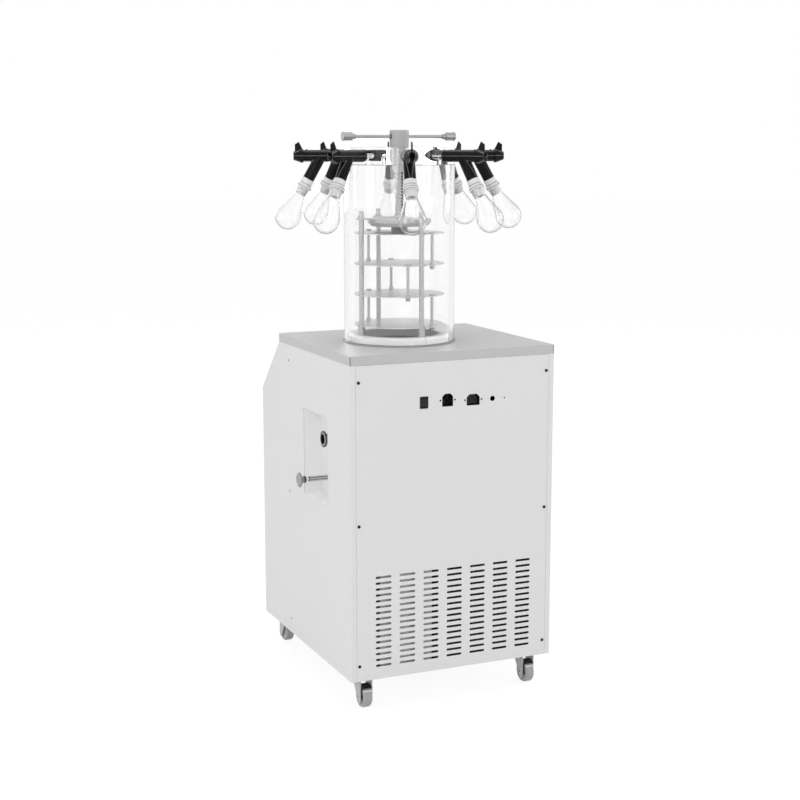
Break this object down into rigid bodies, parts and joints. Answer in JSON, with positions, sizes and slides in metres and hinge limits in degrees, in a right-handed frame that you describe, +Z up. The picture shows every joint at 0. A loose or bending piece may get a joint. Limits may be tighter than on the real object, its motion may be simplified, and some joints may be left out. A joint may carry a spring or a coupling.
{
  "type": "freeze dryer",
  "caption": "Floor-standing freeze dryer: white cabinet on casters, clear chamber with a hand-pressed shelf rack, and a lid ringed by valves with flasks.",
  "frame": {"origin": "on the floor, under the centre of the bounding box", "axes": "+Z up; -Y towards the console and screen; +Y towards the louvred rear panel; +X towards the side with the service recess"},
  "size_m": [0.5417, 0.6207, 1.2334],
  "materials": {
    "worktop_coat": "smooth metallic grey coat",
    "cabinet_paint": "satin powder coat, off-white",
    "plated_steel": "bright zinc plate",
    "screen": "gloss black screen in a dark bezel",
    "black_plastic": "moulded, fine grain",
    "stainless": "turned and brushed",
    "foam": "closed-cell foam",
    "dark_fitting": "dark satin",
    "knob_plastic": "moulded grey",
    "pale_box": "satin",
    "fin_aluminium": "dark coated fins",
    "black_paint": "gloss enamel",
    "caster_grey": "moulded grey",
    "wheel_nylon": "moulded grey tread",
    "collar_plastic": "turned, off-white",
    "seal_rubber": "moulded",
    "clear_acrylic": "polished clear",
    "valve_rubber": "moulded black",
    "stopper_rubber": "moulded pale grey",
    "flask_glass": "blown clear"
  },
  "bodies": {
    "cabinet": {"base_pan": "cabinet_paint", "side_panel_right": "cabinet_paint", "side_panel_left": "cabinet_paint", "rear_panel": "cabinet_paint", "front_panel": "cabinet_paint", "recess_box": "cabinet_paint", "worktop": "worktop_coat", "panel_screws": "plated_steel", "touch_screen": "screen", "rocker_frame": "black_plastic", "inlet_socket": "black_plastic", "outlet_socket": "black_plastic", "cold_trap": "stainless", "trap_jacket": "foam", "vacuum_port": "dark_fitting", "drain_valve": "dark_fitting", "control_box": "pale_box", "condenser": "fin_aluminium", "fan_frame": "black_plastic", "compressor": "black_paint", "collar_ring": "collar_plastic", "lower_seal": "seal_rubber", "chamber_tube": "clear_acrylic", "upper_seal": "seal_rubber", "lid": "clear_acrylic", "valve_bodies": "valve_rubber", "stoppers": "stopper_rubber", "flasks": "flask_glass", "shelf_4": "stainless", "hanger_rods_4": "stainless", "rack_posts": "stainless", "rack_bridge": "stainless"},
    "press_handle": {"press_head": "stainless", "t_bar": "stainless"},
    "press_ram": {"press_screw": "stainless", "press_foot": "black_plastic", "shelf_1": "stainless"},
    "second_shelf": {"shelf_2": "stainless", "hanger_rods_2": "stainless"},
    "third_shelf": {"shelf_3": "stainless", "hanger_rods_3": "stainless"},
    "drain_tap": {"drain_knob": "knob_plastic"},
    "power_switch": {"power_rocker": "black_plastic"},
    "fan": {"fan_rotor": "black_plastic"},
    "valve_1": {"valve_plug_1": "valve_rubber"},
    "valve_2": {"valve_plug_2": "valve_rubber"},
    "valve_3": {"valve_plug_3": "valve_rubber"},
    "valve_4": {"valve_plug_4": "valve_rubber"},
    "valve_5": {"valve_plug_5": "valve_rubber"},
    "valve_6": {"valve_plug_6": "valve_rubber"},
    "valve_7": {"valve_plug_7": "valve_rubber"},
    "valve_8": {"valve_plug_8": "valve_rubber"},
    "caster_1": {"caster_fork_1": "caster_grey"},
    "wheel_1": {"caster_wheel_1": "wheel_nylon"},
    "caster_2": {"caster_fork_2": "caster_grey"},
    "wheel_2": {"caster_wheel_2": "wheel_nylon"},
    "caster_3": {"caster_fork_3": "caster_grey"},
    "wheel_3": {"caster_wheel_3": "wheel_nylon"},
    "caster_4": {"caster_fork_4": "caster_grey"},
    "wheel_4": {"caster_wheel_4": "wheel_nylon"}
  },
  "joints": [
    {"name": "press_turn", "type": "hinge", "parent": "cabinet", "child": "press_handle", "pos_m": [0.00961, 0.04911, 1.1965], "axis": [0, 0, -1], "range_deg": [0, 2880]},
    {"name": "ram_slide", "type": "slide", "parent": "cabinet", "child": "press_ram", "axis": [0, 0, -1], "range_m": [0, 0.0541]},
    {"name": "second_shelf_slide", "type": "slide", "parent": "cabinet", "child": "second_shelf", "axis": [0, 0, -1], "range_m": [0, 0.0361]},
    {"name": "third_shelf_slide", "type": "slide", "parent": "cabinet", "child": "third_shelf", "axis": [0, 0, -1], "range_m": [0, 0.0181]},
    {"name": "valve_turn_1", "type": "hinge", "parent": "cabinet", "child": "valve_1", "pos_m": [0.19458, 0.14643, 1.178], "axis": [0.885, 0.4656, 0], "range_deg": [0, 180]},
    {"name": "valve_turn_2", "type": "hinge", "parent": "cabinet", "child": "valve_2", "pos_m": [0.07159, 0.24871, 1.178], "axis": [0.2965, 0.955, 0], "range_deg": [0, 180]},
    {"name": "valve_turn_3", "type": "hinge", "parent": "cabinet", "child": "valve_3", "pos_m": [-0.0877, 0.23408, 1.178], "axis": [-0.4656, 0.885, 0], "range_deg": [0, 180]},
    {"name": "valve_turn_4", "type": "hinge", "parent": "cabinet", "child": "valve_4", "pos_m": [-0.18999, 0.11109, 1.178], "axis": [-0.955, 0.2965, 0], "range_deg": [0, 180]},
    {"name": "valve_turn_5", "type": "hinge", "parent": "cabinet", "child": "valve_5", "pos_m": [-0.17535, -0.0482, 1.178], "axis": [-0.885, -0.4656, 0], "range_deg": [0, 180]},
    {"name": "valve_turn_6", "type": "hinge", "parent": "cabinet", "child": "valve_6", "pos_m": [-0.05236, -0.15049, 1.178], "axis": [-0.2965, -0.955, 0], "range_deg": [0, 180]},
    {"name": "valve_turn_7", "type": "hinge", "parent": "cabinet", "child": "valve_7", "pos_m": [0.10693, -0.13585, 1.178], "axis": [0.4656, -0.885, 0], "range_deg": [0, 180]},
    {"name": "valve_turn_8", "type": "hinge", "parent": "cabinet", "child": "valve_8", "pos_m": [0.20921, -0.01286, 1.178], "axis": [0.955, -0.2965, 0], "range_deg": [0, 180]},
    {"name": "drain_turn", "type": "hinge", "parent": "cabinet", "child": "drain_tap", "pos_m": [0.21961, 0.02911, 0.4712], "axis": [1, 0, 0], "range_deg": [0, 90]},
    {"name": "rocker_tilt", "type": "hinge", "parent": "cabinet", "child": "power_switch", "pos_m": [0.04101, 0.24261, 0.6648], "axis": [1, 0, 0], "range_deg": [-8, 0]},
    {"name": "fan_spin", "type": "hinge", "parent": "cabinet", "child": "fan", "pos_m": [-0.11689, 0.16961, 0.189], "axis": [0, 1, 0], "continuous": true},
    {"name": "caster_swivel_1", "type": "hinge", "parent": "cabinet", "child": "caster_1", "pos_m": [0.16711, 0.19961, 0.061], "axis": [0, 0, 1], "continuous": true},
    {"name": "wheel_roll_1", "type": "hinge", "parent": "caster_1", "child": "wheel_1", "pos_m": [0.16711, 0.21661, 0.025], "axis": [1, 0, 0], "continuous": true},
    {"name": "caster_swivel_2", "type": "hinge", "parent": "cabinet", "child": "caster_2", "pos_m": [0.16711, -0.26039, 0.061], "axis": [0, 0, 1], "continuous": true},
    {"name": "wheel_roll_2", "type": "hinge", "parent": "caster_2", "child": "wheel_2", "pos_m": [0.16711, -0.27739, 0.025], "axis": [1, 0, 0], "continuous": true},
    {"name": "caster_swivel_3", "type": "hinge", "parent": "cabinet", "child": "caster_3", "pos_m": [-0.22889, 0.19961, 0.061], "axis": [0, 0, 1], "continuous": true},
    {"name": "wheel_roll_3", "type": "hinge", "parent": "caster_3", "child": "wheel_3", "pos_m": [-0.22889, 0.21661, 0.025], "axis": [1, 0, 0], "continuous": true},
    {"name": "caster_swivel_4", "type": "hinge", "parent": "cabinet", "child": "caster_4", "pos_m": [-0.22889, -0.26039, 0.061], "axis": [0, 0, 1], "continuous": true},
    {"name": "wheel_roll_4", "type": "hinge", "parent": "caster_4", "child": "wheel_4", "pos_m": [-0.22889, -0.27739, 0.025], "axis": [1, 0, 0], "continuous": true}
  ],
  "couplings": [
    {"joint": "ram_slide", "follows": "press_turn", "m_per_rad": 0.0010743},
    {"joint": "second_shelf_slide", "follows": "press_turn", "m_per_rad": 0.0007162},
    {"joint": "third_shelf_slide", "follows": "press_turn", "m_per_rad": 0.0003581}
  ]
}
